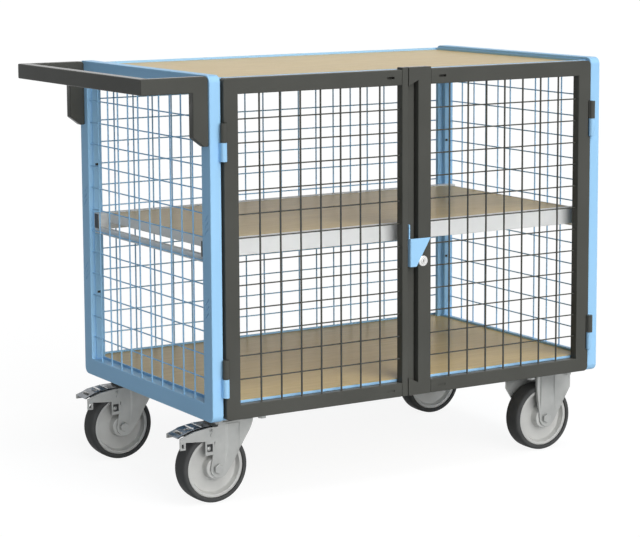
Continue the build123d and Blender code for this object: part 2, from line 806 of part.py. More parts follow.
# The four casters in their places
bolts = []
swivel_plates = []
for row, y in (("front", yf + caster_side_inset), ("rear", yr - caster_side_inset)):
    swivel_at = Pos(xl + caster_end_inset, y, zb)
    fixed_at = Pos(xr - fixed_end_inset, y, zb)
    swivel_hub = swivel_at * Pos(-trail, 0, -axle_drop)
    fixed_hub = fixed_at * Pos(0, 0, -axle_drop)
    swivel_plates.append(swivel_at * swivel_plate)
    save(f"{row}_left_fork", [swivel_at * swivel_fork])
    save(f"{row}_left_pedal", [swivel_at * pedal])
    save(f"{row}_left_pedal_pin", [swivel_at * pedal_pin])
    save(f"{row}_right_fork", [fixed_at * fixed_fork])
    bolts += [swivel_at * bolt for bolt in plate_bolts]
    bolts += [fixed_at * bolt for bolt in plate_bolts]
    for side, hub in (("left", swivel_hub), ("right", fixed_hub)):
        save(f"{row}_{side}_axle", [hub * axle])
        save(f"{row}_{side}_rim", [hub * rim])
        save(f"{row}_{side}_tyre", [hub * tyre])
save("caster_bolts", bolts)
save("swivel_plates", swivel_plates)
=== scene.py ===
# %% [markdown]
# # A mobile workbench, dressed in Blender
# The trolley is a mesh cupboard on four casters: blue end frames, two charcoal doors, three wooden boards and a push
# handle. Its solids come from CAD, already in place and already jointed. This lesson gives them their looks: soft
# edges, round wire, turned wheels, powder coat, zinc, lacquered wood, and a plain white studio.

import json
from math import pi, radians, sqrt

import bmesh
import bpy
from bmesh.types import BMEdge, BMFace, BMVert
from mathutils import Matrix, Vector

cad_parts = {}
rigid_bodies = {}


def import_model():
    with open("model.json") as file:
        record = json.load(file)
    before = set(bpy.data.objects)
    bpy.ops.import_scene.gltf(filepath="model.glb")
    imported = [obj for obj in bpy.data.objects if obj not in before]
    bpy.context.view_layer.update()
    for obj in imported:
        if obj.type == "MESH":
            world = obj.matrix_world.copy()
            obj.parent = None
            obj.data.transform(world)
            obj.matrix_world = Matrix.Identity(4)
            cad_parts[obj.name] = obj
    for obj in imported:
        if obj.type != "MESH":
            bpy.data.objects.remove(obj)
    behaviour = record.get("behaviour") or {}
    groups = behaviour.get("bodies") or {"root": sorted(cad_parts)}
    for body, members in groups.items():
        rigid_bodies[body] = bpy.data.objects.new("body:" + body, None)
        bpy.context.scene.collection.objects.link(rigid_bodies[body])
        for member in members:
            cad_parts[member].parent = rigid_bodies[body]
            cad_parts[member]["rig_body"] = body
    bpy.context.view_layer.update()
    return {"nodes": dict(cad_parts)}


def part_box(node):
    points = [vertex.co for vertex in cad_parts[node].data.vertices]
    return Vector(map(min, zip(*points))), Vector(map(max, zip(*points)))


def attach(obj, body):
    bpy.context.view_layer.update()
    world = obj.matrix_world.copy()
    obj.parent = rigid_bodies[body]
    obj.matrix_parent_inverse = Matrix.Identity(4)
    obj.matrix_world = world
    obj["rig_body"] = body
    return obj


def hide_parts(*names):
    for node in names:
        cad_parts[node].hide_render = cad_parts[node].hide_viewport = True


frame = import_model()
mm = 0.001

# %% [markdown]
# ## Camera
# The photograph is taken from in front of the handle end, a little above the worktop. A long lens keeps the upright
# tubes almost parallel, and the lens is shifted down a little, as on a view camera, so that they hardly converge. More
# shift would push the trolley out of the frame in other views. The place and the angle come from fitting the
# cupboard's corners to the photograph.

# %% Camera
scene = bpy.context.scene
scene.view_settings.view_transform = "Standard"
camera = bpy.data.objects.new("camera", bpy.data.cameras.new("camera"))
scene.collection.objects.link(camera)
camera.location = (-2.5258, -4.1347, 1.2295)
camera.rotation_euler = (radians(82.4748), radians(0.3806), radians(-30.7881))
camera.data.lens = 119.96
camera.data.shift_x, camera.data.shift_y = 0.05, -0.1
scene.camera = camera
print("camera", [round(v, 2) for v in camera.location], "lens", camera.data.lens)

# %% [markdown]
# ## Shader sums
# Shader graphs get long when every Math node is wired by hand. This small class wraps one output socket, so that
# `1 - mask` or `0.4 + 0.1 * grain` in Python adds the Math nodes. Every other node comes from its one method.


# %% Shader sums
class Value:
    """One output of a material's nodes."""

    def __init__(self, tree, socket=None):
        self.tree = tree
        self.socket = socket

    def node(self, kind, settings=None, sockets=None, out=0):
        """Adds a node with its settings, then its values and links, and wraps one of its outputs."""
        made = self.tree.nodes.new("ShaderNode" + kind)
        for name, setting in (settings or {}).items():
            setattr(made, name, setting)
        for name, given in (sockets or {}).items():
            if isinstance(given, Value):
                self.tree.links.new(given.socket, made.inputs[name])
            else:
                made.inputs[name].default_value = given
        return Value(self.tree, made.outputs[out] if made.outputs else None)

    def maths(self, operation, a, b):
        return self.node("Math", {"operation": operation}, {0: a, 1: b})

    def __add__(self, other):
        return self.maths("ADD", self, other)

    def __sub__(self, other):
        return self.maths("SUBTRACT", self, other)

    def __rsub__(self, other):
        return self.maths("SUBTRACT", other, self)

    def __mul__(self, other):
        return self.maths("MULTIPLY", self, other)

    __radd__ = __add__
    __rmul__ = __mul__


print("shader sums ready")

# %% [markdown]
# ## Studio
# A product picture has a white ground and soft light. The world looks white to the camera and in reflections, and gives
# only a dim, even light to everything else. Three suns shape the piece: a wide key from in front and above, a low one
# that reaches under the trolley and in through the mesh, and one from above for the boards. So the front is bright and
# the handle end lies in shade, as in the photograph.

# %% World and suns
world = bpy.data.worlds.new("studio")
world.use_nodes = True
scene.world = world
world.node_tree.nodes.clear()


def seen_by_eye(start):
    """One where a ray comes from the camera, a mirror or glass."""
    rays = [start.node("LightPath", out=f"Is {kind} Ray") for kind in ("Camera", "Glossy", "Transmission")]
    return rays[0] + rays[1] + rays[2]


def sun(name, direction, strength, spread_deg):
    """A soft lamp that shines everywhere along one direction."""
    lamp = bpy.data.objects.new(name, bpy.data.lights.new(name, "SUN"))
    lamp.data.energy = strength
    lamp.data.angle = radians(spread_deg)
    lamp.rotation_euler = Vector(direction).to_track_quat("-Z", "Y").to_euler()
    scene.collection.objects.link(lamp)


sky = Value(world.node_tree)
dim = sky.node("Background", {}, {"Color": (0.86, 0.95, 1, 1), "Strength": 0.12})
white = sky.node("Background", {}, {"Color": (1, 1, 1, 1), "Strength": 1.0})
light = sky.node("MixShader", {}, {0: seen_by_eye(sky), 1: dim, 2: white})
sky.node("OutputWorld", {}, {"Surface": light})
sun("key_sun", (-0.05, 0.87, -0.48), 1.72, 60)
sun("low_sun", (0.1, 0.99, -0.06), 1.0, 60)
sun("top_sun", (-0.1, 0.3, -0.95), 0.95, 25)
print("lamps", [lamp.name for lamp in bpy.data.lights])

# %% [markdown]
# ### Floor
# The floor is one wide square whose edges lie far out of sight. To the eye it glows almost white, and the lamps add a
# little to that glow, so that a soft shadow is left where they don't reach. To every other ray it is matt grey, and it
# lights the underside no more than a real floor does.

# %% Floor
floor_mesh = bmesh.new()
bmesh.ops.create_grid(floor_mesh, x_segments=1, y_segments=1, size=30)
floor_data = bpy.data.meshes.new("floor")
floor_mesh.to_mesh(floor_data)
floor_mesh.free()
floor = bpy.data.objects.new("floor", floor_data)
scene.collection.objects.link(floor)
floor_paint = bpy.data.materials.new("floor")
floor_paint.use_nodes = True
floor_paint.node_tree.nodes.clear()
ground = Value(floor_paint.node_tree)
matt = ground.node("BsdfDiffuse", {}, {"Color": (0.5, 0.53, 0.55, 1)})
faint = ground.node("BsdfDiffuse", {}, {"Color": (0.16, 0.16, 0.16, 1)})
glow = ground.node("Emission", {}, {"Strength": 0.9})
bright = ground.node("AddShader", {}, {0: faint, 1: glow})
shown = ground.node("MixShader", {}, {0: seen_by_eye(ground), 1: matt, 2: bright})
ground.node("OutputMaterial", {}, {"Surface": shown})
floor_data.materials.append(floor_paint)
print("floor", [round(side) for side in floor.dimensions], "metres")

# %% [markdown]
# ## Finishes
# Each finish is a Principled shader with its own fine structure. Slow noise shifts the colour a little, as on any
# coated or plated part, and fine noise raises the surface. All patterns read Object coordinates, so they stay on the
# piece when a door opens. The names are those of the record's material slots. The one extra is the pedals' zinc, which
# is painted dark as a painted reflection of the dark surroundings that their polished tread mirrors.

# %% Finish helpers
finishes = {}


def begin(name):
    """A new material with an empty node sheet. What it returns is the place on the piece."""
    material = bpy.data.materials.new(name)
    material.use_nodes = True
    material.node_tree.nodes.clear()
    finishes[name] = material
    return Value(material.node_tree).node("TexCoord", out="Object")


def noise(place, scale, detail):
    return place.node("TexNoise", {}, {"Vector": place, "Scale": scale, "Detail": detail}, "Fac")


def stretched(place, scale):
    """The place, scaled along each axis, which draws a pattern out along the axis with the least scale."""
    return place.node("Mapping", {}, {"Vector": place, "Scale": scale})


def mix(amount, low, high):
    return amount.node("Mix", {"data_type": "RGBA"}, {0: amount, 6: low, 7: high}, 2)


def spread(value, low, high):
    """Stretches the middle of a noise to the whole range from 0 to 1."""
    sockets = {"Value": value, "From Min": low, "From Max": high}
    return value.node("MapRange", {}, sockets, "Result")


def surface(place, colour, roughness, height, depth, **fixed):
    """Closes a finish: colour, roughness and a raised surface, with fixed values on the shader."""
    bump = place.node("Bump", {}, {"Height": height, "Distance": depth, "Strength": 1.0})
    sockets = {"Base Color": colour, "Roughness": roughness, "Normal": bump}
    sockets.update({name.replace("_", " "): value for name, value in fixed.items()})
    shader = place.node("BsdfPrincipled", {}, sockets)
    place.node("OutputMaterial", {}, {"Surface": shader})


print("finish helpers ready")

# %% [markdown]
# ### Powder coat
# Both paints are powder coat, which melts into a thick skin with a faint orange peel. The blue has the coarser peel,
# and the charcoal flows out finer and flatter. Both mirror the studio only weakly, so the shader's specular level is
# low: at the usual level the white surroundings would wash out the sides that turn away.

# %% Powder coat
place = begin("blue_paint")
cloud = spread(noise(place, 4, 3), 0.3, 0.7)
peel = noise(place, 420, 2)
blue = mix(cloud, (0.375, 0.665, 0.955, 1), (0.395, 0.69, 0.985, 1))
surface(place, blue, 0.3 + 0.08 * cloud, peel, 0.04 * mm, Specular_IOR_Level=0.05)

place = begin("grey_paint")
cloud = spread(noise(place, 6, 3), 0.3, 0.7)
grit = noise(place, 900, 3)
charcoal = mix(cloud, (0.081, 0.081, 0.072, 1), (0.095, 0.095, 0.085, 1))
surface(place, charcoal, 0.16 + 0.06 * grit, grit, 0.01 * mm, Specular_IOR_Level=0.05)
print("powder coats", list(finishes))

# %% [markdown]
# ### Lacquered boards
# The worktop, the shelf and the bottom are pale sealed boards. The grain runs along the cupboard: noise stretched by a
# Mapping node gives long streaks, and a second, finer one gives the pores, which are darker, duller and a little lower
# than the lacquer around them.

# %% Lacquered boards
place = begin("wood")
along = stretched(place, (1.3, 16, 16))
pores = stretched(place, (14, 420, 420))
streak = spread(noise(along, 5, 6), 0.3, 0.7)
fleck = spread(noise(pores, 2, 3), 0.42, 0.7)
board = mix(streak, (0.592, 0.428, 0.174, 1), (0.672, 0.5, 0.208, 1))
board = mix(0.25 * fleck, board, (0.43, 0.297, 0.115, 1))
surface(place, board, 0.28 + 0.1 * fleck, 1 - fleck, 0.03 * mm, Specular_IOR_Level=0.085)
print("wood nodes", len(finishes["wood"].node_tree.nodes))

# %% [markdown]
# ### Zinc and nickel
# The shelf is made of galvanised sheet with a faint crystal pattern, which a texture of cells gives. The forks and
# bolts are dull zinc plate with fine rolling marks. The pedals are smoother, so they show light and dark sharply, and
# their zinc is painted dark: the dark colour is a painted reflection of the dark surroundings that the tread mirrors.
# The lock is nickel, the brightest of the metals.

# %% Zinc and nickel
place = begin("galvanised")
crystal = place.node("TexVoronoi", {}, {"Vector": place, "Scale": 70}, "Color")
flake = place.node("SeparateColor", {}, {"Color": crystal}, 0)
cloud = spread(noise(place, 3, 2), 0.3, 0.7)
steel = mix(0.75 * cloud + 0.25 * flake, (0.84, 0.84, 0.83, 1), (0.92, 0.92, 0.90, 1))
surface(place, steel, 0.34 + 0.08 * flake, noise(place, 300, 2), 0.03 * mm, Metallic=0.08, Specular_IOR_Level=0.1)

place = begin("zinc")
rolled = noise(stretched(place, (60, 60, 700)), 2, 3)
cloud = spread(noise(place, 25, 3), 0.3, 0.7)
plate = mix(cloud, (0.375, 0.38, 0.37, 1), (0.455, 0.46, 0.445, 1))
surface(place, plate, 0.38 + 0.16 * rolled, rolled, 0.04 * mm, Metallic=0.45)

# The pedals' zinc is painted dark: this colour is a painted dark reflection for the polished tread.
place = begin("pedal_zinc")
cloud = spread(noise(place, 40, 3), 0.35, 0.65)
dark_reflection_tone = mix(cloud, (0.11, 0.12, 0.135, 1), (0.24, 0.255, 0.275, 1))
surface(place, dark_reflection_tone, 0.14 + 0.1 * cloud, noise(place, 220, 2), 0.05 * mm, Metallic=1.0)

place = begin("lock_metal")
cloud = spread(noise(place, 200, 2), 0.3, 0.7)
nickel = mix(cloud, (0.74, 0.735, 0.725, 1), (0.82, 0.815, 0.805, 1))
surface(place, nickel, 0.2 + 0.1 * cloud, noise(place, 900, 2), 0.02 * mm, Metallic=0.8)
print("metals", list(finishes)[-4:])

# %% [markdown]
# ### Wheel core, tyre and black plastic
# The wheel core is moulded grey plastic with a fine satin grain. The tyre is solid rubber: dark, dull, and a little
# dusty where noise makes it paler. The caps in the shelf beams are plain black plastic.

# %% Plastics and rubber
place = begin("rim_plastic")
cloud = spread(noise(place, 18, 3), 0.3, 0.7)
satin = noise(place, 1100, 2)
core = mix(cloud, (0.52, 0.515, 0.495, 1), (0.60, 0.595, 0.57, 1))
surface(place, core, 0.4 + 0.12 * satin, satin, 0.05 * mm)

place = begin("tyre")
dust = spread(noise(place, 30, 5), 0.35, 0.75)
skin = noise(place, 800, 3)
rubber = mix(dust, (0.074, 0.074, 0.074, 1), (0.096, 0.096, 0.094, 1))
surface(place, rubber, 0.5 + 0.15 * dust, skin, 0.08 * mm, Specular_IOR_Level=0.04)

place = begin("black_plastic")
satin = noise(place, 1000, 2)
black = mix(satin, (0.024, 0.025, 0.027, 1), (0.034, 0.035, 0.036, 1))
surface(place, black, 0.45 + 0.15 * satin, satin, 0.05 * mm)
print("finishes", sorted(finishes))

# %% [markdown]
# ## From bmesh to piece
# Every piece is a bmesh that is written to an object at the origin, rides on the body of a CAD node, and may stand for
# that node. Weighted normals keep wide faces flat next to their rounded edges.

# %% From bmesh to piece
sharp = radians(40)


def make(name, bm, finish, carrier, *replaced):
    """Writes a bmesh as a piece that rides with the carrier node and stands for the replaced nodes."""
    mesh = bpy.data.meshes.new(name)
    bm.to_mesh(mesh)
    bm.free()
    mesh.shade_smooth()
    mesh.set_sharp_from_angle(angle=sharp)
    mesh.materials.append(finishes[finish])
    made = bpy.data.objects.new(name, mesh)
    scene.collection.objects.link(made)
    made.modifiers.new("flat_faces", "WEIGHTED_NORMAL").keep_sharp = True
    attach(made, frame["nodes"][carrier]["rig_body"])
    "zinc" if finish == "pedal_zinc" else finish
    if replaced:
        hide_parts(*replaced)
    return made


def round_edges(bm, edges, radius, segments=2):
    """A rounded bevel along the given edges."""
    bmesh.ops.bevel(
        bm, geom=edges, offset=radius, offset_type="OFFSET", affect="EDGES", segments=segments, profile=0.5,
        clamp_overlap=True, material=-1
    )


def corners_out(bm, angle=sharp):
    """The outward edges that are sharper than an angle."""
    return [e for e in bm.edges if e.is_manifold and e.calc_face_angle_signed(0) > angle]


print("piece helpers ready")

# %% [markdown]
# ## Pieces whose CAD shape is right
# Sheet, tube and bar never have knife edges. For most nodes a copy of the CAD mesh is merged, its flat triangles are
# joined, and its outward edges are rounded by the radius that such a part has: half a millimetre on sheet, two on
# tube. Rounded edges catch a thin line of light, and that is most of what makes a metal part look real.

# %% Soften the plain pieces
merge_gap = 0.005 * mm


def copy_of(node):
    """A merged copy of a CAD node with whole flat faces."""
    bm = bmesh.new()
    bm.from_mesh(frame["nodes"][node].data)
    bmesh.ops.remove_doubles(bm, verts=bm.verts, dist=merge_gap)
    bmesh.ops.dissolve_limit(bm, angle_limit=radians(1), verts=bm.verts, edges=bm.edges)
    return bm


def soften(node, radius_mm, finish):
    bm = copy_of(node)
    round_edges(bm, corners_out(bm), radius_mm * mm)
    make(node + "_soft", bm, finish, node, node)


edge_radii_mm = {
    "blue_paint": {"frame_knuckles": 0.8, "caster_carriers": 1.5},
    "grey_paint": {
        "handle_grip": 2.2, "handle_arms": 2.2, "left_meeting_stile": 2,
        "left_door_knuckles": 0.8, "right_door_knuckles": 0.8,
    },
    "wood": {"top_board": 0.8, "bottom_board": 0.8, "shelf_board": 0.6},
    "galvanised": {"shelf_beams": 1.6, "shelf_rails": 0.6},
    "zinc": {
        "handle_bolts": 0.7, "hinge_pins": 0.3, "swivel_plates": 0.8, "caster_bolts": 0.9, "lock_nut": 0.5,
        "lock_cam": 0.4,
    },
    "black_plastic": {"shelf_end_caps": 0.5},
}
for finish, nodes in edge_radii_mm.items():
    for node, radius_mm in nodes.items():
        soften(node, radius_mm, finish)
print("softened", sum(len(nodes) for nodes in edge_radii_mm.values()), "nodes")

# %% [markdown]
# ## End frames
# Each end is a ring of rectangular tube, bent at the outer corners and welded. Two rounded rectangles are bridged into
# a flat ring, the ring is extruded to the tube's width, and its long edges are rounded.

# %% End frames
tube, bend, inner_bend = 26 * mm, 16 * mm, 2.5 * mm


def round_corners(bm, corners, radius, segments):
    """Rounds some corners of a flat face."""
    bmesh.ops.bevel(
        bm, geom=corners, offset=radius, offset_type="OFFSET", affect="VERTICES", segments=segments, profile=0.5,
        material=-1
    )


def rounded_rectangle(bm, low, high, radius):
    """A rectangle across the cupboard with round corners."""
    spots = [(low.y, low.z), (high.y, low.z), (high.y, high.z), (low.y, high.z)]
    corners = [bm.verts.new((low.x, y, z)) for y, z in spots]
    bm.faces.new(corners)
    round_corners(bm, corners, radius, 8)


def only(kind, items):
    """The vertices, the edges or the faces among some items."""
    return [item for item in items if isinstance(item, kind)]


def thicken(bm, faces, shift):
    """Extrudes faces by a shift and returns the moved ones."""
    made = bmesh.ops.extrude_face_region(bm, geom=faces)["geom"]
    bmesh.ops.translate(bm, verts=only(BMVert, made), vec=shift)
    return only(BMFace, made)


def end_ring(end):
    """The ring of tube that holds one end mesh."""
    low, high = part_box(f"{end}_end_frame")
    hole_low, hole_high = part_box(f"{end}_end_mesh")
    hole_low.x = hole_high.x = low.x
    bm = bmesh.new()
    rounded_rectangle(bm, low, high, bend)
    rounded_rectangle(bm, hole_low, hole_high, inner_bend)
    bmesh.ops.delete(bm, geom=bm.faces[:], context="FACES_ONLY")
    bmesh.ops.bridge_loops(bm, edges=bm.edges[:])
    thicken(bm, bm.faces[:], (tube, 0, 0))
    bmesh.ops.recalc_face_normals(bm, faces=bm.faces[:])
    round_edges(bm, [e for e in bm.edges if e.calc_face_angle(0) > radians(60)], 2 * mm, 3)
    return bm


end_rings = {end: end_ring(end) for end in ("left", "right")}
print("end rings", {end: len(bm.faces) for end, bm in end_rings.items()}, "faces")

# %% [markdown]
# ## Cuts in flat faces
# Sheet and tube are full of punched slots. A boolean would cut them, but it can leave slivers and broken edges. Here
# planes cut only the flat face into cells, and the cell of the slot is pushed in, so that the slot has walls and a
# floor and the mesh stays closed.

# %% Cuts in flat faces
X, Y, Z = range(3)
axes = [Vector((1, 0, 0)), Vector((0, 1, 0)), Vector((0, 0, 1))]
hair = 0.001 * mm


def same(a, b):
    """True for two measures that agree to a fiftieth of a millimetre."""
    return abs(a - b) < 0.02 * mm


def faces_at(bm, axis, place):
    """The faces that look along an axis, either way, and lie at a place on it."""
    return [f for f in bm.faces if abs(f.normal[axis]) > 0.9 and same(f.calc_center_median()[axis], place)]


def slice_faces(bm, faces, point, normal):
    """Cuts faces along a plane and returns all the faces they became."""
    geom = list({item for f in faces for item in (f, *f.edges, *f.verts)})
    made = bmesh.ops.bisect_plane(bm, geom=geom, plane_co=point, plane_no=normal, dist=hair)["geom"]
    return only(BMFace, made)


def window(bm, faces, spot, *halves):
    """Cuts faces round a spot, half a width to each side along the axes given, and returns those inside."""
    for axis, half in halves:
        for side in (-1, 1):
            faces = slice_faces(bm, faces, spot + axes[axis] * (half * side), axes[axis])
            faces = [f for f in faces if (f.calc_center_median() - spot)[axis] * side < half]
    return faces


def push(bm, faces, shift):
    """Extrudes faces by a shift, takes away those left behind, and returns the moved ones."""
    moved = thicken(bm, faces, shift)
    bmesh.ops.delete(bm, geom=[f for f in faces if f.is_valid], context="FACES")
    return moved


print("cutting helpers ready")

# %% [markdown]
# ### Slits in the stiles
# Two groups of three slanting slits are punched into the outer side of each stile. A window is cut round a group first,
# so that the slanting planes reach no further than the slits do.

# %% Slits in the stiles
group_heights = (242 * mm, 418 * mm)
group_half_width, group_half_height = 7.6 * mm, 24 * mm
slit_step, slit_half, slit_depth = 14 * mm, 0.9 * mm, 9 * mm


def slit_group(bm, outside_x, y, z):
    """Three slanting slits in the face that holds the point (y, z) on the outside of a stile."""
    middle = Vector((outside_x, y, z))
    faces = [f for f in faces_at(bm, X, outside_x) if bmesh.geometry.intersect_face_point(f, middle)]
    faces = window(bm, faces, middle, (Z, group_half_height), (Y, group_half_width))
    lean = Vector((0, 1, 1)).normalized()
    spots = [middle + axes[Z] * (slit_step * row) for row in (-1, 0, 1)]
    for spot in spots:
        for edge in (-slit_half, slit_half):
            faces = slice_faces(bm, faces, spot + lean * edge, lean)
    for spot in spots:
        slit = [f for f in faces if f.is_valid and abs((f.calc_center_median() - spot).dot(lean)) < slit_half]
        push(bm, slit, (-slit_depth if outside_x > 0 else slit_depth, 0, 0))


for end, bm in end_rings.items():
    low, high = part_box(f"{end}_end_frame")
    hole_low, hole_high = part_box(f"{end}_end_mesh")
    for y in ((low.y + hole_low.y) / 2, (high.y + hole_high.y) / 2):
        for height in group_heights:
            slit_group(bm, low.x if end == "left" else high.x, y, low.z + height)
    make(f"{end}_end_ring", bm, "blue_paint", f"{end}_end_frame", f"{end}_end_frame")
print("end frames from", low.to_tuple(4), "to", high.to_tuple(4))

# %% [markdown]
# ## Shelf strips
# Along the inner edge of each stile runs a thin slotted strip that the shelf beams rest against, and the rear stiles
# carry a narrow square bar beside it. All are sawn from flat or square bar, so a scaled cube with broken edges is the
# stock. The slots' floors are painted black as painted shade. It stands in for the shade inside the hollow stile that
# a real slot opens into.

# %% Shelf strips
strip = 2.5 * mm
slot_heights, slot_inset = (157 * mm, 454 * mm), 5.5 * mm
slot_half_width, slot_half_height, slot_depth = 4.2 * mm, 2.8 * mm, 2.2 * mm
rib_width, rib_front, rib_back = 13 * mm, 9.5 * mm, 19.5 * mm


def bar(bm, low, high):
    """A square bar between two corners, and its faces."""
    size = Matrix.Diagonal((*(high - low), 1))
    made = bmesh.ops.create_cube(bm, size=1, matrix=Matrix.Translation((low + high) / 2) @ size)["verts"]
    return list({f for v in made for f in v.link_faces})


def edges_of(faces):
    return list({e for f in faces for e in f.edges})


for end in ("left", "right"):
    low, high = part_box(f"{end}_end_posts")
    inner_x, inward = (high.x, 1) if end == "left" else (low.x, -1)
    sides = ((low.y, 1), (high.y, -1))
    bm = bmesh.new()
    for y, side in sides:
        front, back = sorted((y, y + side * strip))
        bar(bm, Vector((low.x, front, low.z)), Vector((high.x, back, high.z)))
    round_edges(bm, bm.edges[:], 0.4 * mm)
    for y, side in sides:
        for height in slot_heights:
            spot = Vector((inner_x - inward * slot_inset, y + side * strip, low.z + height))
            slot = window(bm, faces_at(bm, Y, spot.y), spot, (X, slot_half_width), (Z, slot_half_height))
            # The pushed-in floor of each slot gets the black material: painted shade for the hollow behind it.
            for painted_shade_face in push(bm, slot, (0, -side * slot_depth, 0)):
                painted_shade_face.material_index = 1
    left, right = sorted((inner_x, inner_x + inward * rib_width))
    rib = bar(bm, Vector((left, high.y + rib_front, low.z)), Vector((right, high.y + rib_back, high.z)))
    round_edges(bm, edges_of(rib), 0.8 * mm)
    strips = make(f"{end}_strips", bm, "blue_paint", f"{end}_end_posts", f"{end}_end_posts")
    # The second, black material is the painted shade on the slots' floors.
    strips.data.materials.append(finishes["black_plastic"])
print("strips from", low.to_tuple(4), "to", high.to_tuple(4))

# %% [markdown]
# ## Shelf ties
# Two square ties under the shelf join the front strips to the rear ones. They are cut from the same kind of bar, and
# they are as long as the space between the strips.

# %% Shelf ties
tie_width = 12 * mm
low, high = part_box("shelf_ties")
post_low, post_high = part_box("left_end_posts")
bm = bmesh.new()
for x in (low.x, high.x - tie_width):
    bar(bm, Vector((x, post_low.y + strip, low.z)), Vector((x + tie_width, post_high.y - strip, high.z)))
round_edges(bm, bm.edges[:], 1.2 * mm)
make("shelf_tie_bars", bm, "galvanised", "shelf_ties", "shelf_ties")
print("ties", round((post_high.y - post_low.y - 2 * strip) / mm), "mm long")

# %% [markdown]
# ## Welded mesh
# The walls and doors are welded wire: a layer of uprights, a layer of thinner level rods that are sunk a little into
# them, and a small squeezed weld at each crossing. A ten-sided cone of even radius is round enough at this size, and
# one flattened icosphere is one weld.

# %% Rods and welds
pitch = 50 * mm
bead, bead_height = 1.7 * mm, 0.9 * mm


def rod_places(low, high):
    """Rods one pitch apart, centred between two edges."""
    count = round((high - low) / pitch) - 1
    return [(low + high - (count - 1) * pitch) / 2 + i * pitch for i in range(count)]


def rod(bm, start, end, radius):
    """One round rod between two points."""
    turn = (end - start).to_track_quat("Z", "Y").to_matrix().to_4x4()
    bmesh.ops.create_cone(
        bm, cap_ends=True, segments=10, radius1=radius, radius2=radius, depth=(end - start).length,
        matrix=Matrix.Translation((start + end) / 2) @ turn
    )


def weld(bm, spot, depth):
    """A small bead that is squeezed along one axis."""
    squeeze = Vector((bead, bead, bead))
    squeeze[depth] = bead_height
    place = Matrix.Translation(spot) @ Matrix.Diagonal(squeeze).to_4x4()
    bmesh.ops.create_icosphere(bm, subdivisions=1, radius=1, matrix=place)


def levels_of(node):
    """The heights of a node's level rods."""
    low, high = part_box(node)
    return rod_places(low.z, high.z)


end_levels, door_levels = levels_of("left_end_mesh"), levels_of("left_door_mesh")
print("level rods", len(end_levels), "on the walls,", len(door_levels), "on the doors")

# %% [markdown]
# ### Mesh panels
# One function fills any wall or door. It is told whether the uprights are spread along X or Y, and on which side of the
# panel they lie, which is always the outside of the cupboard. All walls share their levels, so the rods line up round
# the corners.

# %% Mesh panels
rod_radii = {"blue_paint": (1.75 * mm, 1.5 * mm), "grey_paint": (2.1 * mm, 1.5 * mm)}
sunk = 0.3 * mm


def mesh_panel(node, across, uprights_low, levels, finish):
    """Welded mesh in a node's box, with uprights spread along X or Y at the box's low or high side."""
    low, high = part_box(node)
    depth = Y if across == X else X
    thick, thin = rod_radii[finish]
    inward = 1 if uprights_low else -1
    outer = (low if uprights_low else high)[depth] + inward * thick
    inner = outer + inward * (thick + thin - sunk)
    columns = rod_places(low[across], high[across])
    bm = bmesh.new()
    for axis, places, layer, radius in ((across, columns, outer, thick), (Z, levels, inner, thin)):
        for place in places:
            start, end = low.copy(), high.copy()
            start[axis] = end[axis] = place
            start[depth] = end[depth] = layer
            rod(bm, start, end, radius)
    for column in columns:
        for level in levels:
            spot = Vector((0, 0, level))
            spot[across], spot[depth] = column, outer + inward * thick
            weld(bm, spot, depth)
    make(node + "_wire", bm, finish, node, node)
    return len(columns) * len(levels)


welds = [
    mesh_panel("left_end_mesh", Y, True, end_levels, "blue_paint"),
    mesh_panel("right_end_mesh", Y, False, end_levels, "blue_paint"),
    mesh_panel("back_mesh", X, False, end_levels, "blue_paint"),
    mesh_panel("left_door_mesh", X, True, door_levels, "grey_paint"),
    mesh_panel("right_door_mesh", X, True, door_levels, "grey_paint"),
]
print("welds", welds)

# %% [markdown]
# ## Trays
# The worktop and the bottom board lie in trays of folded angle: an upright web with a ledge inside it. A four-sided
# circle, scaled, gives a rectangle. One rectangle is drawn for each corner of the angle's section, and four faces from
# each to the next sweep the section round the tray with mitred corners. Round the back and the ends, the bottom tray's
# web is a little higher and keeps things on the board: flat strips on the web stand for that lip.

# %% Trays
sheet, ledge_width = 3 * mm, 30 * mm


def rectangle(bm, low, high, z):
    """The four corners of a rectangle at a height."""
    size = Matrix.Diagonal((high.x - low.x, high.y - low.y, 1, 1))
    place = Matrix.Translation(((low.x + high.x) / 2, (low.y + high.y) / 2, z)) @ size
    place = place @ Matrix.Rotation(radians(45), 4, "Z")
    return bmesh.ops.create_circle(bm, segments=4, radius=sqrt(0.5), matrix=place)["verts"]


def raise_lip(bm, low, high, lip):
    """Flat strips that make the web higher at the back and both ends."""
    foot, crest = high.z - 1.2 * mm, high.z + lip
    strips = bar(bm, Vector((low.x, high.y - sheet, foot)), Vector((high.x, high.y, crest)))
    for x in (low.x, high.x - sheet):
        strips += bar(bm, Vector((x, low.y + sheet, foot)), Vector((x + sheet, high.y - sheet, crest)))
    round_edges(bm, edges_of(strips), 0.5 * mm)


def tray(node, ledge, drop, lip=0):
    """A ring of angle section in a node's box, its web a little lower than the box, with or without a lip."""
    low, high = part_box(node)
    high.z -= drop
    section = [
        (0, low.z), (0, high.z), (sheet, high.z), (sheet, ledge), (ledge_width, ledge), (ledge_width, ledge - sheet),
        (sheet, ledge - sheet), (sheet, low.z),
    ]
    bm = bmesh.new()
    rings = [rectangle(bm, low + Vector((i, i, 0)), high - Vector((i, i, 0)), z) for i, z in section]
    for one, other in zip(rings, rings[1:] + rings[:1]):
        for i in range(4):
            bm.faces.new((one[i - 1], one[i], other[i], other[i - 1]))
    bmesh.ops.recalc_face_normals(bm, faces=bm.faces[:])
    round_edges(bm, corners_out(bm), 0.9 * mm)
    if lip:
        raise_lip(bm, low, high, lip)
    make(node + "_angle", bm, "blue_paint", node, node)
    return high - low


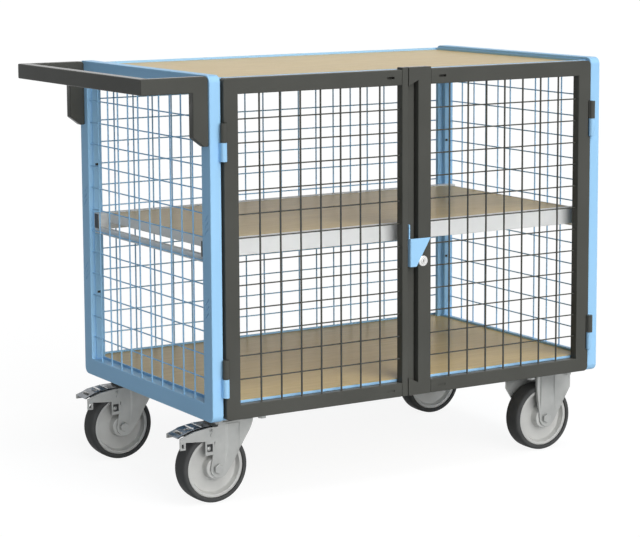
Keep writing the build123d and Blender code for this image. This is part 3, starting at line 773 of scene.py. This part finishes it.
trays = [
    tray("top_frame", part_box("top_board")[0].z, drop=3 * mm),
    tray("bottom_frame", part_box("bottom_board")[0].z, drop=2 * mm, lip=5 * mm),
]
print("trays", [[round(side / mm) for side in size] for size in trays], "mm")

# %% [markdown]
# ## Door frames
# A door is a C of tube that is closed by its meeting stile. The C is drawn as one face at the back of the door, and its
# two outer corners are rounded.


# %% Door frames
def door_face(side):
    """The flat C of a door."""
    low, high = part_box(f"{side}_door_frame")
    hole_low, hole_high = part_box(f"{side}_door_mesh")
    hinge_x, meet_x, inner_x = (low.x, high.x, hole_low.x) if side == "left" else (high.x, low.x, hole_high.x)
    outline = [
        (meet_x, low.z), (hinge_x, low.z), (hinge_x, high.z), (meet_x, high.z), (meet_x, hole_high.z),
        (inner_x, hole_high.z), (inner_x, hole_low.z), (meet_x, hole_low.z),
    ]
    bm = bmesh.new()
    corners = [bm.verts.new((x, high.y, z)) for x, z in outline]
    bm.faces.new(corners)
    round_corners(bm, corners[1:3], 10 * mm, 6)
    return bm


doors = {side: door_face(side) for side in ("left", "right")}
print("door outlines", {side: len(bm.verts) for side, bm in doors.items()}, "corners")

# %% [markdown]
# ### Hinge notches
# The hinge barrels lie in notches in the front of the hinge stile. The C is extruded in two steps: first to the depth
# of the notches, then all of it but the notches. That leaves them open without any cutting.

# %% Hinge notches
notch_height = 81 * mm


def open_notches(bm, side):
    """Extrudes a door's C to the front, with two hinge notches."""
    low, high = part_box(f"{side}_door_frame")
    barrel_low, barrel_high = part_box(f"{side}_door_knuckles")
    hinge_x, notch_x = (low.x, barrel_high.x) if side == "left" else (high.x, barrel_low.x)
    notch_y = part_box("left_end_frame")[0].y
    feet = (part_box("frame_knuckles")[0].z - 1 * mm, barrel_high.z - notch_height)
    front = thicken(bm, bm.faces[:], (0, notch_y - high.y, 0))
    for foot in feet:
        for z in (foot, foot + notch_height):
            front = slice_faces(bm, front, (0, notch_y, z), axes[Z])
    front = slice_faces(bm, front, (notch_x, notch_y, 0), axes[X])

    def in_notch(spot):
        beside = abs(spot.x - hinge_x) < abs(notch_x - hinge_x)
        return beside and any(foot < spot.z < foot + notch_height for foot in feet)

    push(bm, [f for f in front if not in_notch(f.calc_center_median())], (0, low.y - notch_y, 0))
    bmesh.ops.remove_doubles(bm, verts=bm.verts, dist=merge_gap)
    bmesh.ops.recalc_face_normals(bm, faces=bm.faces[:])
    bmesh.ops.dissolve_limit(bm, angle_limit=radians(1), verts=bm.verts, edges=bm.edges)
    round_edges(bm, corners_out(bm, radians(60)), 2.2 * mm, 3)
    return feet


for side, bm in doors.items():
    print(side, "notches at", [round(foot, 4) for foot in open_notches(bm, side)])

# %% [markdown]
# ### Slots in the door rails
# Near the meeting stile, each rail has one short slot: a deep one at the top and a shallow dent at the bottom. They are
# cut as a window and pushed in.

# %% Slots in the door rails
rail_slot_inset, rail_slot_half_width, rail_slot_half_height = 30 * mm, 9.5 * mm, 2.5 * mm
low_slot_depth, high_slot_depth = 1.5 * mm, 10 * mm
for side, bm in doors.items():
    node = f"{side}_door_frame"
    low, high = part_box(node)
    hole_low, hole_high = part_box(f"{side}_door_mesh")
    x = high.x - rail_slot_inset if side == "left" else low.x + rail_slot_inset
    rails = (((low.z + hole_low.z) / 2, low_slot_depth), ((high.z + hole_high.z) / 2, high_slot_depth))
    for z, depth in rails:
        spot = Vector((x, low.y, z))
        slot = window(bm, faces_at(bm, Y, low.y), spot, (X, rail_slot_half_width), (Z, rail_slot_half_height))
        push(bm, slot, (0, depth, 0))
    make(f"{side}_door_tube", bm, "grey_paint", node, node)
    print(side, "door from", low.to_tuple(4), "to", high.to_tuple(4))

# %% [markdown]
# ## Turned parts
# Wheels, pins, rivets and the lock are turned or moulded round. A half section is drawn as a chain of points and spun
# about its axis. The spin is merged at its seam and at the poles, and the normals are recalculated, because a spun
# section can come out inside out.


# %% Turned parts
def turned(section, place, closed, steps):
    """A bmesh of (radius, along) points, in millimetres, spun about the Z axis of a place."""
    bm = bmesh.new()
    verts = [bm.verts.new((radius * mm, 0, along * mm)) for radius, along in section]
    edges = [bm.edges.new(pair) for pair in zip(verts, verts[1:] + (verts[:1] if closed else []))]
    bmesh.ops.spin(
        bm, geom=verts + edges, cent=(0, 0, 0), axis=(0, 0, 1), angle=2 * pi, steps=steps, use_merge=True
    )
    bmesh.ops.remove_doubles(bm, verts=bm.verts, dist=hair)
    bmesh.ops.recalc_face_normals(bm, faces=bm.faces[:])
    bmesh.ops.transform(bm, matrix=place, verts=bm.verts)
    return bm


def both_halves(half):
    """A half section and its mirror image."""
    return half + [(radius, -along) for radius, along in reversed(half)]


def axis_y(spot, turn=-90):
    """A place whose Z axis runs along +Y, or along -Y for a turn of 90 degrees."""
    return Matrix.Translation(spot) @ Matrix.Rotation(radians(turn), 4, "X")


def centre(node):
    low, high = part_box(node)
    return (low + high) / 2


print("turning helpers ready")

# %% [markdown]
# ### Wheels
# A wheel is two closed sections, each the same on both sides of the wheel's middle: a moulded core with a hub, a thin
# web and a rim, and a solid tyre with rounded shoulders. Seventy-two steps keep the tread round in a close view.

# %% Wheels
wheels = [f"{row}_{side}" for row in ("front", "rear") for side in ("left", "right")]
core_section = both_halves([
    (6.2, 27.5), (22.5, 27.5), (24.3, 26.6), (25, 25), (25, 11.5), (26.2, 8.6), (29, 7.4), (50, 7), (55.4, 8),
    (57.2, 10.5), (58.6, 17.6), (59.4, 19.4), (60.8, 20), (65, 20), (66.4, 19.2), (67, 17.6),
])
tyre_section = both_halves([
    (67.15, 22.2), (67.9, 23), (71.4, 23), (74, 22.2), (76.2, 20.2), (77.3, 17.4), (77.8, 11), (78, 4),
])
for wheel in wheels:
    for part, section, finish in (("rim", core_section, "rim_plastic"), ("tyre", tyre_section, "tyre")):
        node = f"{wheel}_{part}"
        make(f"{node}_turned", turned(section, axis_y(centre(node)), True, 72), finish, node, node)
    print(wheel, "wheel at", centre(f"{wheel}_rim").to_tuple(4))

# %% [markdown]
# ## Forks
# The forks are pressed from thick sheet. The stiffening band down each leg is pushed out of the sheet, so its walls
# lean and its borders are rounded. The CAD band has upright walls, and moving the points of its outer face inwards
# makes them lean.

# %% Raised bands
band_out = 34.5 * mm
band_lean, band_lift = 5 * mm, 28 * mm


def pressed(node):
    """A copy of a fork whose bands have leaning walls, a slanting foot and soft borders."""
    bm = copy_of(node)
    middle_y = centre(node).y
    raised = [v for v in bm.verts if same(abs(v.co.y - middle_y), band_out)]
    left, right = min(v.co.x for v in raised), max(v.co.x for v in raised)
    foot = min(v.co.z for v in raised)
    bmesh.ops.translate(bm, verts=[v for v in raised if v.co.x < left + 1 * mm], vec=(band_lean, 0, 0))
    bmesh.ops.translate(bm, verts=[v for v in raised if v.co.x > right - 1 * mm], vec=(-band_lean, 0, 0))
    bmesh.ops.translate(bm, verts=[v for v in raised if v.co.z < foot + 20 * mm], vec=(0, 0, band_lift))
    borders = edges_of([f for v in raised for f in v.link_faces])
    round_edges(bm, [e for e in borders if radians(15) < e.calc_face_angle(0) < sharp], 1.4 * mm)
    return bm


forks = {f"{wheel}_fork": pressed(f"{wheel}_fork") for wheel in wheels}
print("pressed forks", {node: len(bm.faces) for node, bm in forks.items()}, "faces")

# %% [markdown]
# ### Swivel forks
# On the swivel forks the trailing flanks are curved. A few planes in turn, each cutting away what lies beyond it, come
# close to the curve. Only the near arm has a tail lug, so the far arm's is cut off. All four forks then get their edges
# rounded, and so do the axles, whose CAD shape is right.

# %% Swivel forks
flank_mm = [(177, -2), (173, -15), (166, -30), (152, -52), (134, -82)]
far_arm, tail_length, lug_drop = 27 * mm, 13.1 * mm, 33.3 * mm


def trim(bm, faces, point, normal):
    """Cuts away the part of some faces that lies beyond a plane, and closes the cut."""
    geom = list({item for f in faces for item in (f, *f.edges, *f.verts)})
    cut = bmesh.ops.bisect_plane(bm, geom=geom, plane_co=point, plane_no=normal, dist=hair, clear_outer=True)
    bmesh.ops.holes_fill(bm, edges=only(BMEdge, cut["geom_cut"]))


def shape_swivel_fork(bm, low, high):
    """Curves the trailing flanks, and takes away the far arm's tail lug."""
    for (x0, z0), (x1, z1) in zip(flank_mm, flank_mm[1:]):
        point = (low.x + x0 * mm, 0, high.z + z0 * mm)
        trim(bm, bm.faces[:], point, Vector((z0 - z1, 0, x1 - x0)).normalized())
    far_y, tail_x = (low.y + high.y) / 2 + far_arm, low.x + tail_length
    arm = [f for f in bm.faces if all(v.co.y > far_y for v in f.verts)]
    slice_faces(bm, arm, (tail_x, 0, 0), axes[X])
    lug = [f for f in bm.faces if all(v.co.y > far_y and v.co.x < tail_x + 0.1 * mm for v in f.verts)]
    trim(bm, lug, (0, 0, high.z - lug_drop), -axes[Z])


for node, bm in forks.items():
    if "left" in node:
        shape_swivel_fork(bm, *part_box(node))
    round_edges(bm, corners_out(bm), 1.2 * mm, 3)
    make(node + "_pressed", bm, "zinc", node, node)
    soften(node.replace("fork", "axle"), 0.9, "zinc")
print("forks and axles", len(forks))

# %% [markdown]
# ## Brake pedals
# Each pedal's zinc is painted dark, as a painted dark reflection. The small faces of its ribs and windows carry a
# painted highlight in bright nickel, where their edges would catch the light. These are small faces inside the tread
# that look up or sideways. They take a second material before the edges are rounded, and the bevel then hands it on.
# The pedal turns on a hollow pin with flared ends, which is turned like the wheels.

# %% Brake pedals
heel, toe, tread_half, highlight_foot = 3 * mm, 20 * mm, 20 * mm, 4 * mm
largest_highlight = 150 * mm * mm
for row in ("front", "rear"):
    node = f"{row}_left_pedal"
    low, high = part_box(node)
    bm = copy_of(node)
    highlight_count = 0
    for f in bm.faces:
        spot = f.calc_center_median()
        within = low.x + heel < spot.x < high.x - toe and abs(spot.y - (low.y + high.y) / 2) < tread_half
        small = f.calc_area() < largest_highlight and spot.z > low.z + highlight_foot
        # Small faces that look up or sideways get the second material: a painted highlight in bright nickel.
        if within and small and (f.normal.z > 0.99 or abs(f.normal.z) < 0.5):
            f.material_index = 1
            highlight_count += 1
    round_edges(bm, corners_out(bm), 0.8 * mm)
    made = make(node + "_soft", bm, "pedal_zinc", node, node)
    # The nickel on these faces is a painted highlight.
    made.data.materials.append(finishes["lock_metal"])
    print(row, "pedal, bright faces", highlight_count)

    node = f"{row}_left_pedal_pin"
    low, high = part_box(node)
    reach = (high.y - low.y) / 2 / mm
    tip = [(0, reach - 3), (2.2, reach - 3), (2.5, reach), (3.5, reach), (4, reach - 0.6)]
    make(f"{row}_left_pin", turned(both_halves(tip), axis_y(centre(node)), False, 24), "zinc", node, node)

# %% [markdown]
# ### Brake plates
# Behind the square window in each leg of a swivel fork sits the dark brake plate, held by one rivet with a low dome.
# The plate is a flat bar with broken edges, and the dome is a short spun section.

# %% Brake plates
window_back, window_out, window_down = 71 * mm, 26 * mm, 52 * mm
plate_half = Vector((10, 1.3, 12.5)) * mm
rivet_down = Vector((0, 0, 2.5 * mm))
dome = [(0, 3), (2.6, 2.7), (4.3, 2.1), (5, 1)]
for row in ("front", "rear"):
    node = f"{row}_left_fork"
    low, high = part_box(node)
    for name, side, turn in (("near", -1, 90), ("far", 1, -90)):
        spot = Vector((low.x + window_back, (low.y + high.y) / 2 + side * window_out, high.z - window_down))
        bm = bmesh.new()
        bar(bm, spot - plate_half, spot + plate_half)
        round_edges(bm, bm.edges[:], 1 * mm)
        make(f"{row}_left_brake_plate_{name}", bm, "black_plastic", node)
        rivet = turned(dome, axis_y(spot - rivet_down, turn), False, 20)
        make(f"{row}_left_brake_plate_{name}_rivet", rivet, "zinc", node)
    print(row, "brake plates, the far one at", spot.to_tuple(4))

# %% [markdown]
# ## Finger groove
# The right meeting stile has a finger groove with a deeper channel along one side. The CAD groove is as deep as the
# channel all over, so its floor is cut along the channel's wall, and the wider part is lifted.

# %% Finger groove
channel_depth, groove_depth, groove_width = 18 * mm, 11.5 * mm, 21 * mm
low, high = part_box("right_meeting_stile")
door_y, floor_y, wall_x = low.y, low.y + groove_depth, low.x + groove_width
bm = copy_of("right_meeting_stile")
deep = slice_faces(bm, faces_at(bm, Y, door_y + channel_depth), (wall_x, 0, 0), axes[X])
push(bm, [f for f in deep if f.calc_center_median().x < wall_x], (0, groove_depth - channel_depth, 0))
round_edges(bm, corners_out(bm), 1.5 * mm)
make("right_meeting_tube", bm, "grey_paint", "right_meeting_stile", "right_meeting_stile")
print("groove floor", round(floor_y, 4), "door front", round(door_y, 4))

# %% [markdown]
# ## Pull plate
# The pull is one folded sheet that stands a little proud of the door, with a slanted edge, a wide fold, and a tongue
# that runs up the groove. Its front is drawn as one face and thickened, a strip of its back is drawn into the groove,
# and part of that strip's top is drawn up to make the tongue. Only the fold gets a wide radius.

# %% Pull plate
proud, pull_sheet, tongue = 6.5 * mm, 2.5 * mm, 31 * mm
foot_width, top_width = 15.7 * mm, 52.7 * mm
low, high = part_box("pull_plate")
front_y, top_z = door_y - proud, high.z - tongue
back_y, flange_x = front_y + pull_sheet, low.x + pull_sheet
bm = bmesh.new()
outline = [(0, low.z), (foot_width, low.z), (top_width, top_z), (0, top_z)]
bm.faces.new([bm.verts.new((low.x + x, front_y, z)) for x, z in outline])
thicken(bm, bm.faces[:], (0, pull_sheet, 0))
bmesh.ops.recalc_face_normals(bm, faces=bm.faces[:])
flange = slice_faces(bm, faces_at(bm, Y, back_y), (flange_x, 0, 0), axes[X])
push(bm, [f for f in flange if f.calc_center_median().x < flange_x], (0, floor_y - back_y, 0))
crest = [f for f in faces_at(bm, Z, top_z) if f.calc_center_median().y > back_y]
crest = slice_faces(bm, crest, (0, door_y, 0), axes[Y])
push(bm, [f for f in crest if f.calc_center_median().y > door_y], (0, 0, tongue))
bmesh.ops.recalc_face_normals(bm, faces=bm.faces[:])
fold = [e for e in bm.edges if all(same(v.co.x, low.x) and same(v.co.y, front_y) for v in e.verts)]
round_edges(bm, fold, 3.6 * mm, 5)
round_edges(bm, corners_out(bm, radians(60)), 0.4 * mm)
make("pull_plate_folded", bm, "blue_paint", "pull_plate", "pull_plate")
print("pull plate front", round(front_y, 4), "top", round(top_z, 4))

# %% [markdown]
# ## Lock
# The lock has a domed flange on the front of the door and a plug with a key slot. The flange and the barrel behind it
# are one closed section, spun round the lock's axis.

# %% Lock flange
low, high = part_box("lock_housing")
face = (low.y - high.y) / 2 / mm
tail = -face
flange_section = [
    (6.1, face + 0.5), (6.6, face), (9.8, face + 0.1), (11.4, face + 0.7), (12, face + 1.7), (12, face + 3),
    (8.5, face + 3), (8.5, tail), (6.1, tail),
]
flange = turned(flange_section, axis_y(centre("lock_housing")), True, 40)
make("lock_flange", flange, "lock_metal", "lock_housing", "lock_housing")
print("lock at", centre("lock_housing").to_tuple(4))

# %% [markdown]
# ### Lock plug
# The plug starts as a filled circle. Its rim is extruded back into a skirt that is closed at the end, the front edge is
# broken, and the key slot is cut into the round face as a window and pushed in.

# %% Lock plug
plug_radius, plug_short = 6 * mm, 3 * mm
key_half_width, key_half_height, key_depth = 1.5 * mm, 3.6 * mm, 8 * mm
low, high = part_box("lock_plug")
spot = Vector(((low.x + high.x) / 2, low.y, (low.z + high.z) / 2))
bm = bmesh.new()
bmesh.ops.create_circle(bm, cap_ends=True, segments=40, radius=plug_radius, matrix=axis_y(spot, 90))
rim = bm.edges[:]
skirt = bmesh.ops.extrude_edge_only(bm, edges=rim)["geom"]
bmesh.ops.translate(bm, verts=only(BMVert, skirt), vec=(0, high.y - low.y - plug_short, 0))
bmesh.ops.contextual_create(bm, geom=only(BMEdge, skirt))
bmesh.ops.recalc_face_normals(bm, faces=bm.faces[:])
round_edges(bm, rim, 0.5 * mm, 3)
key_slot = window(bm, faces_at(bm, Y, low.y), spot, (X, key_half_width), (Z, key_half_height))
push(bm, key_slot, (0, key_depth, 0))
make("lock_key_plug", bm, "lock_metal", "lock_plug", "lock_plug")
print("key slot at", spot.to_tuple(4))
